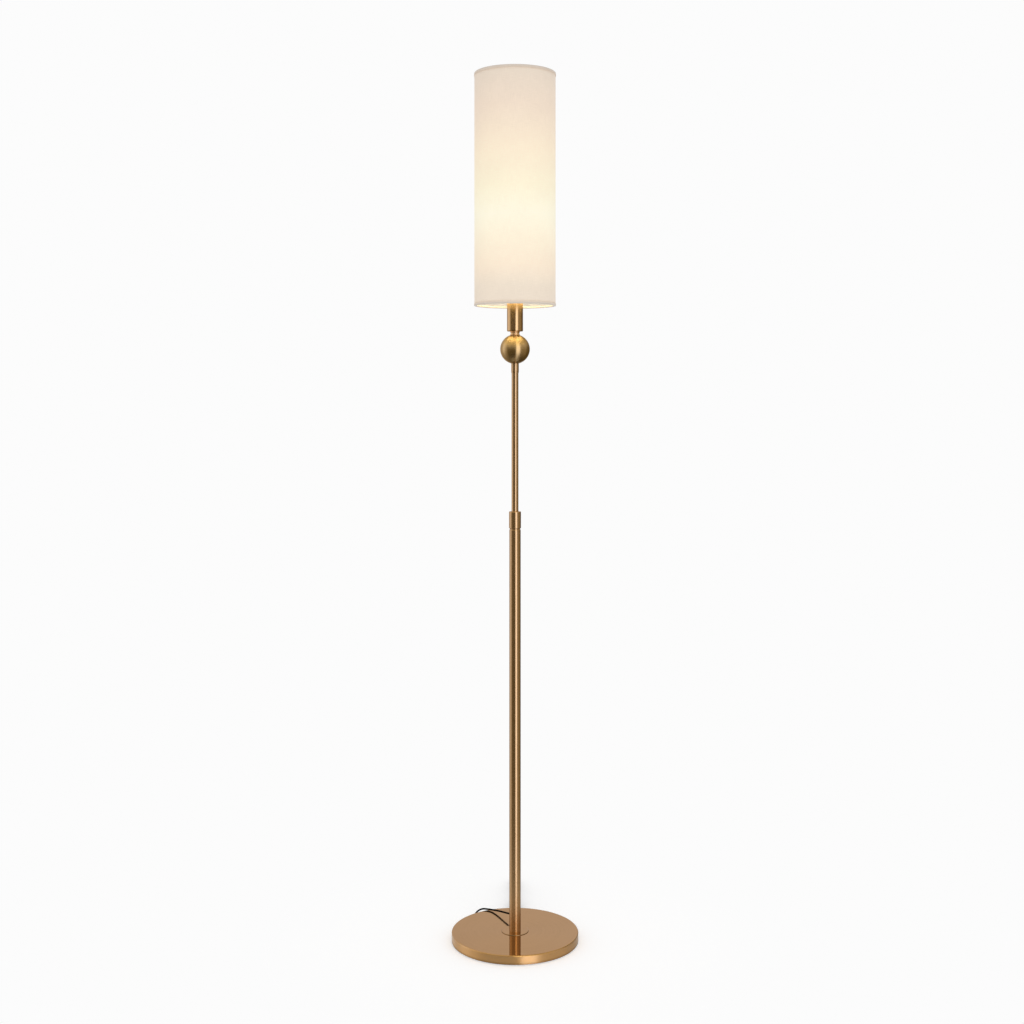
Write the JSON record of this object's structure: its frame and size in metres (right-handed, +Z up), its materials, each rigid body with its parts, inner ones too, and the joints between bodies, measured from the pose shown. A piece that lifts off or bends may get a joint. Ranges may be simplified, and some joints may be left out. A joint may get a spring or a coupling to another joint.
{
  "type": "column floor lamp",
  "caption": "Floor lamp with a round weighted base, a telescoping brass pole with a twist lock, a ball under the lamp holder and a tall drum shade",
  "frame": {"origin": "middle of the underside of the base's felt pad, on the pole's axis", "axes": "+Z up along the pole, -Y toward the front, +X to the right seen from the front; the cord leaves the pole toward +Y"},
  "size_m": [0.233, 0.4336, 1.5957],
  "materials": {
    "brushed_brass": "brushed",
    "satin_brass": "satin",
    "zinc_steel": "zinc plated",
    "base_iron": "rough",
    "felt": "felt",
    "plug_blade": "polished",
    "cord_black": "satin",
    "switch_black": "matte",
    "rocker_black": "gloss",
    "nylon": "matte",
    "holder_white": "matte",
    "cap_metal": "satin",
    "bulb_glass": "frosted, lit",
    "white_wire": "satin white",
    "liner": "matte, lit from inside",
    "linen": "fine weave, lit from inside",
    "hem": "fine weave tape"
  },
  "bodies": {
    "base": {"foot_pad": "felt", "base_plate": "zinc_steel", "base_weight": "base_iron", "base_skin": "brushed_brass", "fixing_nut": "zinc_steel", "fixing_washer": "zinc_steel", "base_stud": "zinc_steel", "pole_flange": "brushed_brass", "pole_insert": "zinc_steel", "lower_tube": "brushed_brass", "cord_boot": "cord_black", "pole_guide": "brushed_brass", "grip_ring": "nylon", "cord": "cord_black", "switch_body": "switch_black", "cord_lead": "cord_black", "cord_hank": "cord_black", "hank_tie": "cord_black", "cord_tail": "cord_black", "plug_body": "switch_black", "plug_blades": "plug_blade"},
    "lock": {"lock_sleeve": "brushed_brass"},
    "upper": {"slide_bush": "nylon", "upper_tube": "brushed_brass", "ball_collar": "brushed_brass", "ball_rod": "zinc_steel", "ball": "satin_brass", "neck": "brushed_brass", "socket_sleeve": "brushed_brass", "lamp_holder": "holder_white", "bulb_cap": "cap_metal", "bulb_glass": "bulb_glass", "shade_spider": "white_wire", "shade_ring": "holder_white", "shade_wire_top": "white_wire", "shade_liner": "liner", "shade_fabric": "linen", "hem_bottom": "hem", "hem_top": "hem"},
    "rocker": {"switch_rocker": "rocker_black"}
  },
  "joints": [
    {"name": "height_slide", "type": "slide", "parent": "base", "child": "upper", "axis": [0, 0, 1], "range_m": [-0.25, 0.15]},
    {"name": "lock_twist", "type": "hinge", "parent": "base", "child": "lock", "pos_m": [0, 0, 0.775], "axis": [0, 0, 1], "range_deg": [0, 90]},
    {"name": "switch_rock", "type": "hinge", "parent": "base", "child": "rocker", "pos_m": [-0.028, 0.1255, 0.0065], "axis": [-0.1392, 0.9903, 0], "range_deg": [-16, 0]}
  ]
}
